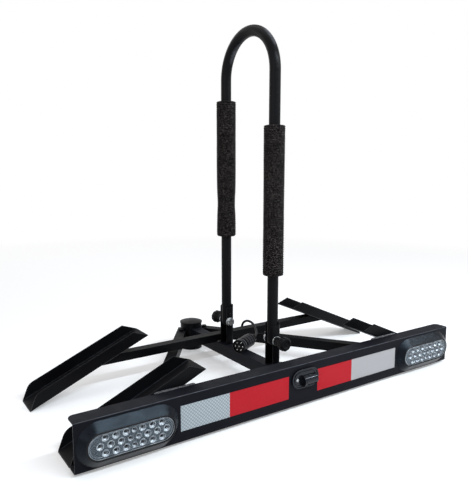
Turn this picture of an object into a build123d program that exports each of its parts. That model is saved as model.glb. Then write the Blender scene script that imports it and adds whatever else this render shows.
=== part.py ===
from build123d import *
import os
from math import asin, atan2, copysign, cos, pi, radians, sin, sqrt, tan

# Hitch bike rack, in millimetres. X runs to the right along the light panel,
# +Y towards the vehicle and +Z up. Pieces are drawn with the panel's face at
# y = 0 and the ground at z = 0, and saved with the tow ball's centre at 0, 0, 0.

# Bolts, by their diameter
HEX_FLATS = 1.6           # a head's or nut's width across its flats
HEAD_HEIGHT = 0.64
NUT_HEIGHT = 0.8
RUNNING = 0.1
WASHER = 2.0

# Tow ball and its socket
BALL_Y = 488.0            # from the panel's face to the ball's centre
BALL_Z = 28.0             # the ball's centre above the socket's lower rim
BALL_D = 50.0
BALL_GAP = 0.2
SOCKET_WALL = 4.8
SOCKET_H = 74.0
STOP_THICK = 3.0
STOP_CLEARANCE = 0.2
STOP_LEDGE = 1.0
CAP_LIP = 1.5
CAP_RIM = 3.0
CAP_RISE = 6.0
CAP_SPIGOT = 6.0
SLOT_WIDTH = 4.0
SLOT_TOP = 60.0
EAR_THICK = 8.0
EAR_EDGE = 12.0           # from the clamp bolt to the ears' rear edge
EAR_HALF = 20.0
EAR_ROUND = 8.0
CLAMP_D = 12.0
CLAMP_GAP = 10.0          # from the socket's outside to the clamp bolt's middle
CLAMP_TAIL = 5.0
CLAMP_WASHER = 1.8        # its width for the bolt's diameter

# Light panel, a folded channel that is open towards the vehicle
PANEL_LENGTH = 1000.0
PANEL_Z = 5.0
PANEL_HEIGHT = 92.0
PANEL_DEPTH = 35.0
SHEET = 2.0
BEND = 3.0
PANEL_CORNER = 12.0
TAPE_THICK = 0.4
TAPE_RISE = 22.0          # from the panel's lower edge to the tape's
TAPE_HEIGHT = 50.0
LEFT_WHITE = 109.0        # lengths of tape
RIGHT_RED = 105.1
TAPE_LAMP_GAPS = (3.5, 5.8)
TAPE_MIDDLE_GAPS = (7.0, 0.5)

# Spine, crossbar and struts
SPINE_SIZE = 30.0
SPINE_TOP = 62.0
SPINE_WALL = 2.0
CROSS_GAP = 34.0          # from the far leg's middle to the crossbar's
CROSS_DEPTH = 25.0
CROSS_HEIGHT = 20.0
STRUT_SIZE = 25.0
STRUT_DROP = 6.0          # a strut's top below the spine's
STRUT_WALL = 2.0
STRUT_INSET = 145.7       # from a tray's tip to where a strut meets the panel
STRUT_TRAY_GAP = 0.6
STRUT_OFFSET = 24.9       # how far its centre line passes beside the ball's centre
STRUT_TAIL = 6.0
STRUT_PLATE = 4.0
PLATE_MARGIN = 22.0
APEX_THICK = 4.0
APEX_HALF = 54.0
APEX_REACH = 40.0
STRUT_BOLT_D = 8.0
STRUT_BOLT_GAP = 1.6      # from a bolt's head to the socket
WELD = 4.0
WELD_GAP = 0.05

# Wheel trays
TRAY_LENGTH = 303.0
TRAY_WIDTH = 70.0
TRAY_WALL = 28.0
TRAY_SLOPE = 23.5
TRAY_INSET = 2.0          # from the panel's end to a tray's tip
TRAY_OUTER_CUT = 28.0
TRAY_INNER_CUT = 30.0
TRAY_ROUND = 25.0
BEAD_LENGTH = 88.0

# Hoop, its brackets and knobs
HOOP_OD = 25.0
HOOP_WALL = 2.0
LEG_Y = 109.0
LEG_SPACING = 192.0
PIVOT_RISE = 61.0         # from the spine's top to the hoop's pivots
HOOP_TOP = 830.5
LEG_CLEARANCE = 0.5
BRACKET_WALL = 2.0
BRACKET_LIP = 9.0
BRACKET_RISE = 42.0       # from the pivots to a bracket's top
BRACKET_STEP = 6.0
BRACKET_CORNER = 10.0
BRACKET_CHAMFER = 5.0
PIVOT_D = 10.0
PIVOT_WASHER = 2.2        # its width for the bolt's diameter
KNOB_D = 32.0
KNOB_LENGTH = 34.0
KNOB_COLLAR_D = 19.0
KNOB_COLLAR = 14.0
KNOB_RIM = 10.0
KNOB_EDGE = 3.0
KNOB_DISH = 2.0
KNOB_FLUTES = 10
FLUTE_R = 4.0
FLUTE_OUT = 2.4
KNOB_BORE = 27.0
BORE_SPARE = 1.0
RIVET_RISE = 19.0         # from the pivots to the stop rivets
RIVET_D = 7.0
SLEEVE_GAP = 0.3
SLEEVE_WALL = 11.6
NEAR_SLEEVE = (108.0, 117.0)   # up from the bracket's top, down from the arch
FAR_SLEEVE = (178.0, 49.0)
END_PLUG = 5.5

# Tail lamps
LAMP_INSET = 100.0        # from the panel's end to a lamp's middle
LAMP_DROP = 1.5
LENS = (164.0, 48.0)
LENS_RISE = 14.0
LENS_WALL = 2.0
LENS_GAP = 0.3
BEZEL_SIDE = 15.5
BEZEL_HIGH = 18.0
BEZEL_EDGE = 1.5
BEZEL_RISE = 14.5
HOUSING_MARGIN = 3.0
HOUSING_WALL = 2.0
HOUSING_LIP = 10.0
HOUSING_DEPTH = 24.0
WINDOW_GAP = 1.0
BOARD_THICK = 1.6
REFLECTOR_RISE = 11.0
LED_MARGIN = 10.0
LED_ROWS = (7, 8, 7)
LED_SHIFT = 3.5
LED_OUTER = 1.05          # the outer lights' spacing, for an even one's
LED_CENTRE = 0.82         # the two middle lights' spacing in the long row, likewise
LED_PULL = 0.2            # how much nearer to the middle the outer lights stand, likewise
LED_D = 5.0
CUP_D = 13.4
CENTRE_CUP_D = 10.4

# Number-plate lamp
PLATE_LAMP_X = 4.0
PLATE_LAMP_Z = 66.0
PLATE_BASE = (74.0, 42.0)
PLATE_BASE_RISE = 3.0
RIM_WIDTH = 3.0
RIM_RISE = 1.5
HOOD_LEAD = 9.0           # from the base's middle to the hood's left end
HOOD_SHORT = 9.0          # from the hood's right end to the base's
HOOD_DROP = 5.5
HOOD_R = 11.5
HOOD_WALL = 1.5
HOOD_RING = 2.0
HOOD_RING_RISE = 1.0
HOOD_BAND_RISE = 0.6
SCREW_LEAD = 23.0
SCREW_DROP = 1.0
SCREW_D = 3.5
SCREW_HEAD = 7.0
SCREW_CROSS = (4.4, 0.9, 0.8)   # the recess's length, width and depth

# Wiring, trailer plug and its cable
CABLE_D = 6.5
LOOM_Y = 16.0
LOOM_RISE = 7.0           # above the spine
LOOM_GAP = 0.5
GROMMET_Y = 140.0
GROMMET_OUT = 12.0
GROMMET_FLANGE = 2.5
GROMMET_WALL = 1.5
GROMMET_LIP = 3.0
GROMMET_TIP = 0.6
PLUG_FACE = (-20.0, 216.0)
PLUG_HEADING = (0.877, 0.481)
PLUG_R = 17.0
PLUG_WALL = 1.7
PLUG_EDGE = 0.8
PLUG_COLLAR = 14.0
PLUG_GROOVE = 4.0
PLUG_BARREL = 60.0
PLUG_RIBS = 7
RIB_DEPTH = 1.6
RIB_SET = 0.2
RIB_FLANK = 0.2           # a rib's flank, as a share of its pitch
PLUG_NECK = 5.0
PLUG_SHOULDER = 5.0
PLUG_BODY = 71.0
PLUG_LENGTH = 82.0
GLAND_FLATS = 22.0
GLAND_STEP = 2.0
GLAND_TIP = 0.8
CABLE_BEND = 106.0        # from the plug's face to the cable's first corner
PLUG_REST = 0.1
INSERT_DEPTH = 3.0
INSERT_SPARE = 1.0
PIN_R = 1.9
PIN_CIRCLE = 10.2
PIN_COUNT = 6
PIN_SINK = 1.0

PANEL_TOP = PANEL_Z + PANEL_HEIGHT
SPINE_LOW = SPINE_TOP - SPINE_SIZE
SPINE_MID = SPINE_TOP - SPINE_SIZE / 2
SOCKET_BORE = BALL_D + 2 * BALL_GAP
SOCKET_OD = SOCKET_BORE + 2 * SOCKET_WALL
CLAMP_REACH = SOCKET_OD / 2 + CLAMP_GAP
EAR_INNER = SLOT_WIDTH / 2
EAR_OUTER = EAR_INNER + EAR_THICK
TRAY_TIP_X = PANEL_LENGTH / 2 - TRAY_INSET
STRUT_FRONT_X = TRAY_TIP_X - STRUT_INSET
FAR_LEG_Y = LEG_Y + LEG_SPACING
CROSS_Y = FAR_LEG_Y + CROSS_GAP
LEG_R = HOOP_OD / 2
TROUGH = LEG_R + LEG_CLEARANCE
BRACKET_OUT = TROUGH + BRACKET_WALL
PIVOT_Z = SPINE_TOP + PIVOT_RISE
BRACKET_TOP = PIVOT_Z + BRACKET_RISE
SHOULDER_Z = HOOP_TOP - LEG_R - LEG_SPACING / 2
LAMP_X = PANEL_LENGTH / 2 - LAMP_INSET
LAMP_Z = PANEL_Z + PANEL_HEIGHT / 2 - LAMP_DROP
BEZEL = (LENS[0] + 2 * BEZEL_SIDE, LENS[1] + 2 * BEZEL_HIGH)
HOUSING = (LENS[0] + 2 * HOUSING_MARGIN, LENS[1] + 2 * HOUSING_MARGIN)
LED_PITCH = (LENS[0] - 2 * LED_MARGIN) / max(LED_ROWS)
LED_ROW = LENS[1] / 2 - LED_MARGIN
HOOD_LEFT = PLATE_LAMP_X - HOOD_LEAD
HOOD_RIGHT = PLATE_LAMP_X + PLATE_BASE[0] / 2 - HOOD_SHORT
HOOD_Z = PLATE_LAMP_Z - HOOD_DROP
SCREW_X = PLATE_LAMP_X - SCREW_LEAD
SCREW_Z = PLATE_LAMP_Z - SCREW_DROP
LOOM_Z = SPINE_TOP + LOOM_RISE
GROMMET_NECK = CABLE_D / 2 + GROMMET_WALL
PLUG_Z = SPINE_TOP + PLUG_R + PLUG_REST
INSERT_R = PLUG_R - PLUG_WALL - RUNNING
INSERT_END = PLUG_COLLAR - INSERT_SPARE

# The free cable, from the grommet on the spine to the plug's gland
CABLE_ROUTE = [
    (SPINE_SIZE / 2 + GROMMET_OUT, GROMMET_Y, SPINE_MID),
    (52, GROMMET_Y, SPINE_MID),
    (74, 150, 35),
    (82, 174, 17),
    (81, 204, 5),
    (78, 236, 4),
    (77, 268, 4),
    (79, 298, 6),
    (83, 326, 15),
    (87, 348, 34),
    (89, 362, 59),
    (91, 361, 86),
    (94, 342, 98.5),
    (95, 317, 97),
    (87, 292, 88),
    (PLUG_FACE[0] + PLUG_HEADING[0] * CABLE_BEND, PLUG_FACE[1] + PLUG_HEADING[1] * CABLE_BEND, PLUG_Z),
    (PLUG_FACE[0] + PLUG_HEADING[0] * PLUG_LENGTH, PLUG_FACE[1] + PLUG_HEADING[1] * PLUG_LENGTH, PLUG_Z),
]


def save(name, shape):
    """Write one node, with the tow ball's centre moved to the origin."""
    solids = [solid.moved(Location((0, -BALL_Y, -BALL_Z))) for solid in shape.solids()]
    whole = solids[0] if len(solids) == 1 else Compound(children=solids)
    whole.label = name
    export_step(whole, f"parts/{name}.step")


def block(x0, x1, y0, y1, z0, z1):
    """A box between two corners."""
    middle = Pos((x0 + x1) / 2, (y0 + y1) / 2, (z0 + z1) / 2)
    return middle * Box(x1 - x0, y1 - y0, z1 - z0)


def rod(start, end, radius):
    """A solid cylinder from one point to another."""
    axis = Vector(*end) - Vector(*start)
    stand = (Align.CENTER, Align.CENTER, Align.MIN)
    return Plane(start, z_dir=axis) * Cylinder(radius, axis.length, align=stand)


def facing(x, y, z):
    """A plane that looks out of the panel's face, with Z up the drawing."""
    return Plane((x, y, z), x_dir=(1, 0, 0), z_dir=(0, -1, 0))


def obround(size, y0, y1, x, z):
    """A bar with round ends, lying flat against the panel."""
    return extrude(facing(x, y1, z) * SlotOverall(*size), y1 - y0)


def hexagon(start, end, flats):
    """A six-sided bar from one point to another, by its width across flats."""
    axis = Vector(*end) - Vector(*start)
    outline = RegularPolygon(flats / 2, 6, major_radius=False)
    return extrude(Plane(start, z_dir=axis) * outline, axis.length)


def ring(start, end, outer, inner):
    """A washer or collar from one point to another."""
    return rod(start, end, outer) - rod(start, end, inner)


def both(shape):
    """A piece and its mirror image, left and right."""
    return Compound(children=list(shape.solids()) + list(mirror(shape, Plane.YZ).solids()))


def grown(size, amount):
    """An obround's length and height, made larger all round."""
    return (size[0] + 2 * amount, size[1] + 2 * amount)


def light_panel():
    """The folded channel, with windows for the lamps and holes for wire and screw."""
    half = PANEL_LENGTH / 2
    outer = block(-half, half, 0, PANEL_DEPTH, PANEL_Z, PANEL_TOP)
    outer = fillet(outer.edges().filter_by(Axis.X).group_by(Axis.Y)[0], BEND)
    inner = block(-half - 1, half + 1, SHEET, PANEL_DEPTH + 1, PANEL_Z + SHEET, PANEL_TOP - SHEET)
    inner = fillet(inner.edges().filter_by(Axis.X).group_by(Axis.Y)[0], BEND - SHEET)
    panel = outer - inner
    panel = fillet(panel.edges().filter_by(Axis.Z).group_by(Axis.Y)[-1], PANEL_CORNER)
    for side in (-1, 1):
        panel -= obround(grown(HOUSING, WINDOW_GAP), -1, SHEET + 1, side * LAMP_X, LAMP_Z)
    panel -= rod((PLATE_LAMP_X, -1, LOOM_Z), (PLATE_LAMP_X, SHEET + 1, LOOM_Z), CABLE_D / 2 + RUNNING)
    panel -= rod((SCREW_X, -1, SCREW_Z), (SCREW_X, SHEET + 1, SCREW_Z), SCREW_D / 2 + RUNNING)
    return panel


def tape(x0, x1):
    """A strip of reflective tape on the panel's face."""
    low = PANEL_Z + TAPE_RISE
    return block(x0, x1, -TAPE_THICK, 0, low, low + TAPE_HEIGHT)


def tape_ends():
    """Where the strips start and end: three places on the left, and three on the right."""
    reach = LAMP_X - BEZEL[0] / 2
    base = PLATE_BASE[0] / 2
    left = TAPE_LAMP_GAPS[0] - reach
    red = PLATE_LAMP_X + base + TAPE_MIDDLE_GAPS[1]
    return ((left, left + LEFT_WHITE, PLATE_LAMP_X - base - TAPE_MIDDLE_GAPS[0]),
            (red, red + RIGHT_RED, reach - TAPE_LAMP_GAPS[1]))


def socket_cylinder():
    """The socket's outside, as a cutter for what is welded to it."""
    low = (0, BALL_Y, -1)
    return rod(low, (0, BALL_Y, SOCKET_H + 1), SOCKET_OD / 2 + WELD_GAP)


def spine_tube():
    """The square tube from the panel to the socket."""
    half = SPINE_SIZE / 2
    inner = half - SPINE_WALL
    tube = block(-half, half, SHEET, BALL_Y, SPINE_LOW, SPINE_TOP)
    tube -= block(-inner, inner, 0, BALL_Y + 1, SPINE_LOW + SPINE_WALL, SPINE_TOP - SPINE_WALL)
    tube -= socket_cylinder()
    tube -= rod((0, LOOM_Y, SPINE_MID), (0, LOOM_Y, SPINE_TOP + 1), CABLE_D / 2 + LOOM_GAP)
    tube -= rod((0, GROMMET_Y, SPINE_MID), (half + 1, GROMMET_Y, SPINE_MID), GROMMET_NECK + RUNNING)
    return tube


def strut_line():
    """A right strut's start, direction and distance to its nearest point to the ball."""
    start = Vector(STRUT_FRONT_X, PANEL_DEPTH, 0)
    to_ball = Vector(0, BALL_Y, 0) - start
    heading = atan2(-to_ball.X, to_ball.Y) - asin(STRUT_OFFSET / to_ball.length)
    reach = sqrt(to_ball.length ** 2 - STRUT_OFFSET ** 2)
    return start, Vector(-sin(heading), cos(heading), 0), reach


def strut_top():
    """The struts' top, below the spine's and under the near trays."""
    along = strut_line()[1]
    edge = STRUT_FRONT_X + STRUT_SIZE / 2 / along.Y
    under_tray = (TRAY_TIP_X - edge) * tan(radians(TRAY_SLOPE)) - STRUT_TRAY_GAP
    return min(SPINE_TOP - STRUT_DROP, under_tray)


def strut_bolt_spot():
    """Where the right strut's bolt stands, just clear of the socket."""
    start, along, reach = strut_line()
    head = STRUT_BOLT_D * HEX_FLATS / sqrt(3)
    away = SOCKET_OD / 2 + head + STRUT_BOLT_GAP
    return start + along * (reach - sqrt(away ** 2 - STRUT_OFFSET ** 2))


def strut():
    """The right strut, cut to the panel's rear edge and to the socket."""
    start, along, reach = strut_line()
    middle = Vector(0, 0, strut_top() - STRUT_SIZE / 2)
    lead = start - along * STRUT_SIZE + middle
    plane = Plane(lead, x_dir=(along.Y, -along.X, 0), z_dir=along)
    length = STRUT_SIZE + reach + STRUT_TAIL
    bar = extrude(plane * Rectangle(STRUT_SIZE, STRUT_SIZE), length)
    hole = STRUT_SIZE - 2 * STRUT_WALL
    bar -= extrude(plane * Rectangle(hole, hole), length)
    bar -= block(0, PANEL_LENGTH, -PANEL_DEPTH, PANEL_DEPTH, 0, PANEL_HEIGHT)
    bar -= socket_cylinder()
    spot = strut_bolt_spot()
    bar -= rod((spot.X, spot.Y, 0), (spot.X, spot.Y, PANEL_HEIGHT), STRUT_BOLT_D / 2 + RUNNING)
    return bar


def strut_plate():
    """The plate inside the panel that the right strut is welded to."""
    x = STRUT_FRONT_X
    half = STRUT_SIZE / 2 + PLATE_MARGIN
    low = PANEL_Z + SHEET
    return block(x - half, x + half, PANEL_DEPTH - STRUT_PLATE, PANEL_DEPTH, low, PANEL_TOP - SHEET)


def apex_plate():
    """The plate under the struts, around the socket's front half."""
    top = strut_top() - STRUT_SIZE
    plate = block(-APEX_HALF, APEX_HALF, BALL_Y - APEX_REACH, BALL_Y, top - APEX_THICK, top)
    plate -= socket_cylinder()
    spot = strut_bolt_spot()
    for side in (-1, 1):
        x = side * spot.X
        plate -= rod((x, spot.Y, 0), (x, spot.Y, SPINE_TOP), STRUT_BOLT_D / 2 + RUNNING)
    return plate


def strut_bolts():
    """The two bolts through the struts' rear ends, each with its nut."""
    spot = strut_bolt_spot()
    r = STRUT_BOLT_D / 2
    flats = HEX_FLATS * STRUT_BOLT_D
    top = strut_top()
    plate_low = top - STRUT_SIZE - APEX_THICK
    x, y = spot.X, spot.Y
    bolt = hexagon((x, y, top), (x, y, top + HEAD_HEIGHT * STRUT_BOLT_D), flats)
    bolt += rod((x, y, plate_low - STRUT_BOLT_D), (x, y, top), r)
    nut = hexagon((x, y, plate_low - NUT_HEIGHT * STRUT_BOLT_D), (x, y, plate_low), flats)
    nut -= rod((x, y, 0), (x, y, top), r + RUNNING)
    return both(Compound(children=[bolt.solid(), nut.solid()]))


def far_crossbar():
    """The rectangular tube across the spine, cut to the far trays' undersides."""
    y0 = CROSS_Y - CROSS_DEPTH / 2
    y1 = CROSS_Y + CROSS_DEPTH / 2
    z1 = SPINE_TOP + CROSS_HEIGHT
    half = TRAY_TIP_X
    bar = block(-half, half, y0, y1, SPINE_TOP, z1)
    bar -= block(-half - 1, half + 1, y0 + SHEET, y1 - SHEET, SPINE_TOP + SHEET, z1 - SHEET)
    above = block(-TRAY_LENGTH, TRAY_LENGTH, -TRAY_WIDTH, TRAY_WIDTH, 0, TRAY_LENGTH)
    above = tray_place(CROSS_Y) * above
    return bar - above - mirror(above, Plane.YZ)


def tray_place(y):
    """Where a left tray's own frame lies: X up its slope, from its outer tip."""
    return Pos(-TRAY_TIP_X, y, 0) * Rot(0, -TRAY_SLOPE, 0)


def left_tray(y):
    """A folded wheel tray on the left, centred at y."""
    half = TRAY_WIDTH / 2
    points = [
        (0, 0),
        (TRAY_LENGTH, 0),
        (TRAY_LENGTH - TRAY_INNER_CUT, TRAY_WALL),
        (TRAY_OUTER_CUT, TRAY_WALL),
    ]
    side = facing(0, half, 0) * make_face(Polyline(*points, close=True))
    body = extrude(side, TRAY_WIDTH)
    shoulder = body.edges().filter_by(Axis.Y).group_by(Axis.Z)[-1].group_by(Axis.X)[0]
    body = fillet(shoulder, TRAY_ROUND)
    body = fillet(body.edges().filter_by(Axis.X).group_by(Axis.Z)[0], BEND)
    hollow = block(-1, TRAY_LENGTH + 1, SHEET - half, half - SHEET, SHEET, TRAY_WALL + 1)
    hollow = fillet(hollow.edges().filter_by(Axis.X).group_by(Axis.Z)[0], BEND - SHEET)
    return tray_place(y) * (body - hollow)


def bead(start, end, toward):
    """A weld bead: a thin wedge along a corner, spreading towards the given side and up."""
    axis = Vector(*end) - Vector(*start)
    plane = Plane(start, x_dir=toward, z_dir=axis)
    outline = make_face(Polyline((0, 0), (WELD, 0), (0, WELD), close=True))
    return extrude(plane * outline, axis.length)


def tray_bead_end():
    """How far from the middle a near tray's wall still stands behind its weld."""
    slope = radians(TRAY_SLOPE)
    along = (PANEL_TOP + WELD - TRAY_WALL * cos(slope)) / sin(slope)
    return TRAY_TIP_X - along * cos(slope) + TRAY_WALL * sin(slope)


def weld_beads():
    """The visible welds: near trays to panel, near bracket and crossbar to the spine."""
    half = SPINE_SIZE / 2
    y0 = CROSS_Y - CROSS_DEPTH / 2
    y1 = CROSS_Y + CROSS_DEPTH / 2
    end = tray_bead_end()
    beads = []
    for x0, x1 in ((-end, BEAD_LENGTH - end), (end - BEAD_LENGTH, end)):
        beads.append(bead((x0, PANEL_DEPTH, PANEL_TOP), (x1, PANEL_DEPTH, PANEL_TOP), (0, 0, 1)))
    beads.append(bead((half, y0, SPINE_TOP), (-half, y0, SPINE_TOP), (0, -1, 0)))
    beads.append(bead((-half, y1, SPINE_TOP), (half, y1, SPINE_TOP), (0, 1, 0)))
    front = LEG_Y - BRACKET_OUT
    flat = BRACKET_OUT - BRACKET_CORNER
    beads.append(bead((flat, front, SPINE_TOP), (-BRACKET_LIP, front, SPINE_TOP), (0, -1, 0)))
    return Compound(children=[one.solid() for one in beads])


def stop_low():
    """The height of the ledge that the ball stop lies on, just above the ball."""
    return BALL_Z + BALL_D / 2 + STOP_CLEARANCE


def socket_hub():
    """The tube that goes over the tow ball, split behind between two ears."""
    hub = rod((0, BALL_Y, 0), (0, BALL_Y, SOCKET_H), SOCKET_OD / 2)
    wall_middle = (SOCKET_OD + SOCKET_BORE) / 4
    rear = BALL_Y + CLAMP_REACH + EAR_EDGE
    ears = block(-EAR_OUTER, EAR_OUTER, BALL_Y + wall_middle, rear, BALL_Z - EAR_HALF, BALL_Z + EAR_HALF)
    ears = fillet(ears.edges().filter_by(Axis.X).group_by(Axis.Y)[-1], EAR_ROUND)
    hub += ears
    hub -= rod((0, BALL_Y, -1), (0, BALL_Y, SOCKET_H + 1), SOCKET_BORE / 2)
    hub -= rod((0, BALL_Y, stop_low()), (0, BALL_Y, SOCKET_H + 1), SOCKET_BORE / 2 + STOP_LEDGE)
    hub -= block(-EAR_INNER, EAR_INNER, BALL_Y, rear + 1, -1, SLOT_TOP)
    y = BALL_Y + CLAMP_REACH
    hub -= rod((-EAR_OUTER - 1, y, BALL_Z), (EAR_OUTER + 1, y, BALL_Z), CLAMP_D / 2 + RUNNING)
    return hub


def ball_stop():
    """The disc inside the socket that rests on the ball."""
    low = stop_low()
    radius = SOCKET_BORE / 2 + STOP_LEDGE - STOP_CLEARANCE
    return rod((0, BALL_Y, low), (0, BALL_Y, low + STOP_THICK), radius)


def hub_cap():
    """The domed cap on the socket."""
    rim = SOCKET_OD / 2 + CAP_LIP
    spigot = SOCKET_BORE / 2 + STOP_LEDGE - STOP_CLEARANCE
    low = SOCKET_H + CAP_RIM
    top = low + CAP_RISE
    dome = (rim ** 2 + CAP_RISE ** 2) / (2 * CAP_RISE)
    middle = (rim / 2, top - dome + sqrt(dome ** 2 - (rim / 2) ** 2))
    outline = Polyline((0, top), (0, SOCKET_H - CAP_SPIGOT), (spigot, SOCKET_H - CAP_SPIGOT),
                       (spigot, SOCKET_H), (rim, SOCKET_H), (rim, low))
    curve = ThreePointArc((rim, low), middle, (0, top))
    face = Plane.XZ * make_face(Wire(list(outline.edges()) + [curve]))
    return Pos(0, BALL_Y, 0) * revolve(face, Axis.Z)


def clamp_bolt():
    """The bolt that pinches the socket, its head on the left."""
    y = BALL_Y + CLAMP_REACH
    head = -EAR_OUTER - WASHER - RUNNING
    tail = EAR_OUTER + WASHER + NUT_HEIGHT * CLAMP_D + CLAMP_TAIL
    outer = head - HEAD_HEIGHT * CLAMP_D
    bolt = hexagon((outer, y, BALL_Z), (head, y, BALL_Z), HEX_FLATS * CLAMP_D)
    return bolt + rod((head, y, BALL_Z), (tail, y, BALL_Z), CLAMP_D / 2)


def clamp_nut():
    """The clamp bolt's nut, on the right ear's washer."""
    y = BALL_Y + CLAMP_REACH
    x = EAR_OUTER + WASHER
    nut = hexagon((x, y, BALL_Z), (x + NUT_HEIGHT * CLAMP_D, y, BALL_Z), HEX_FLATS * CLAMP_D)
    return nut - rod((0, y, BALL_Z), (2 * SPINE_SIZE, y, BALL_Z), CLAMP_D / 2 + RUNNING)


def clamp_washers():
    """The washers under the clamp bolt's head and nut."""
    y = BALL_Y + CLAMP_REACH
    outer = CLAMP_WASHER * CLAMP_D / 2
    inner = CLAMP_D / 2 + RUNNING
    return both(ring((EAR_OUTER, y, BALL_Z), (EAR_OUTER + WASHER, y, BALL_Z), outer, inner))


def inner_corner():
    """The radius of a bracket's folds on their inside."""
    return BRACKET_CORNER - BRACKET_WALL


def bracket(y):
    """The upright trough that a hoop leg turns in, open towards the left."""
    top = BRACKET_TOP
    body = block(-BRACKET_LIP, BRACKET_OUT, y - BRACKET_OUT, y + BRACKET_OUT, SPINE_TOP, top)
    body = fillet(body.edges().filter_by(Axis.Z).group_by(Axis.X)[-1], BRACKET_CORNER)
    hollow = block(-BRACKET_LIP - 1, TROUGH, y - TROUGH, y + TROUGH, SPINE_TOP - 1, top + 1)
    body -= fillet(hollow.edges().filter_by(Axis.Z).group_by(Axis.X)[-1], inner_corner())
    tips = body.edges().filter_by(Axis.Y).group_by(Axis.Z)[-1].group_by(Axis.X)[0]
    body = chamfer(tips, BRACKET_CHAMFER)
    front = y - BRACKET_OUT - 1
    body -= block(-BRACKET_LIP - 1, BRACKET_OUT + 1, front, y - TROUGH, top - BRACKET_STEP, top + 1)
    hole = PIVOT_D / 2 + RUNNING
    body -= rod((0, y - BRACKET_OUT - 1, PIVOT_Z), (0, y + BRACKET_OUT + 1, PIVOT_Z), hole)
    return body


def pivot_bolt(y, knob_side):
    """A hoop pivot bolt, headed on the side away from its knob."""
    face = y - knob_side * (BRACKET_OUT + WASHER)
    tip = y + knob_side * (BRACKET_OUT + WASHER + KNOB_BORE - BORE_SPARE)
    head = face - knob_side * HEAD_HEIGHT * PIVOT_D
    bolt = hexagon((0, head, PIVOT_Z), (0, face, PIVOT_Z), HEX_FLATS * PIVOT_D)
    return bolt + rod((0, face, PIVOT_Z), (0, tip, PIVOT_Z), PIVOT_D / 2)


def pivot_washers():
    """The washers on both sides of both brackets."""
    washers = []
    outer = PIVOT_WASHER * PIVOT_D / 2
    for y in (LEG_Y, FAR_LEG_Y):
        for side in (-1, 1):
            near = y + side * BRACKET_OUT
            far = near + side * WASHER
            washer = ring((0, near, PIVOT_Z), (0, far, PIVOT_Z), outer, PIVOT_D / 2 + RUNNING)
            washers.append(washer.solid())
    return Compound(children=washers)


def rivets():
    """The stop rivets' heads, on the brackets' inner sides."""
    heads = []
    z = PIVOT_Z + RIVET_RISE
    for y, side in ((LEG_Y, 1), (FAR_LEG_Y, -1)):
        face = y + side * BRACKET_OUT
        head = rod((0, face, z), (0, face + side * RIVET_D / 2, z), RIVET_D / 2)
        outer = head.edges().group_by(Axis.Y)[-1 if side > 0 else 0]
        heads.append(fillet(outer, RIVET_D / 4).solid())
    return Compound(children=heads)


def knob(y, side):
    """A fluted hand knob that faces away from its bracket, with a blind bore."""
    rim = KNOB_D / 2
    collar = KNOB_COLLAR_D / 2
    flare = KNOB_LENGTH - KNOB_RIM
    dish = KNOB_LENGTH - KNOB_DISH
    outline = Polyline((0, 0), (collar, 0), (collar, KNOB_COLLAR), (rim, flare),
                       (rim, KNOB_LENGTH - KNOB_EDGE), (rim - KNOB_EDGE, KNOB_LENGTH),
                       (collar, KNOB_LENGTH), (collar - KNOB_EDGE, dish), (0, dish), close=True)
    body = revolve(Plane.XZ * make_face(outline), Axis.Z)
    flute = Pos(rim + FLUTE_OUT, 0, 0) * Cylinder(FLUTE_R, 3 * KNOB_LENGTH)
    for step in range(KNOB_FLUTES):
        body -= Rot(0, 0, step * 360 / KNOB_FLUTES) * flute
    body -= rod((0, 0, -1), (0, 0, KNOB_BORE), PIVOT_D / 2 + RUNNING)
    base = (0, y + side * (BRACKET_OUT + WASHER + RUNNING), PIVOT_Z)
    return Plane(base, x_dir=(1, 0, 0), z_dir=(0, side, 0)) * body


def leg_end(y, radius):
    """A leg's lower end, rounded about the pivot so that it turns in its bracket."""
    stub = rod((0, y, PIVOT_Z - HOOP_OD), (0, y, PIVOT_Z), radius)
    drum = rod((0, y - LEG_R, PIVOT_Z), (0, y + LEG_R, PIVOT_Z), LEG_R)
    return stub & fillet(drum.edges().filter_by(GeomType.CIRCLE), inner_corner())


def hoop_tube():
    """The bent tube, with both legs drilled for the pivot bolts."""
    near = (0, LEG_Y, PIVOT_Z)
    left = Line(near, (0, LEG_Y, SHOULDER_Z))
    crown = (0, LEG_Y + LEG_SPACING / 2, HOOP_TOP - LEG_R)
    arch = ThreePointArc(left @ 1, crown, (0, FAR_LEG_Y, SHOULDER_Z))
    right = Line(arch @ 1, (0, FAR_LEG_Y, PIVOT_Z))
    path = Wire([left, arch, right])
    inner = LEG_R - HOOP_WALL
    body = sweep(Plane(near, z_dir=(0, 0, 1)) * Circle(LEG_R), path=path)
    core = sweep(Plane(near, z_dir=(0, 0, 1)) * Circle(inner), path=path)
    for y in (LEG_Y, FAR_LEG_Y):
        body += leg_end(y, LEG_R)
        core += rod((0, y, PIVOT_Z - HOOP_OD), (0, y, PIVOT_Z + 1), inner)
    body -= core
    body -= rod((0, 0, PIVOT_Z), (0, BALL_Y, PIVOT_Z), PIVOT_D / 2 + RUNNING)
    return body


def end_plugs():
    """The plugs in the legs' lower ends."""
    plugs = []
    for y in (LEG_Y, FAR_LEG_Y):
        top = PIVOT_Z - LEG_R + END_PLUG
        plug = leg_end(y, LEG_R - HOOP_WALL - RUNNING)
        plugs.append((plug & block(-HOOP_OD, HOOP_OD, y - HOOP_OD, y + HOOP_OD, 0, top)).solid())
    return Compound(children=plugs)


def sleeve(y, rise, drop):
    """A foam sleeve on a hoop leg, between its bracket and the arch."""
    inner = LEG_R + SLEEVE_GAP
    return ring((0, y, BRACKET_TOP + rise), (0, y, SHOULDER_Z - drop), inner + SLEEVE_WALL, inner)


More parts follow.
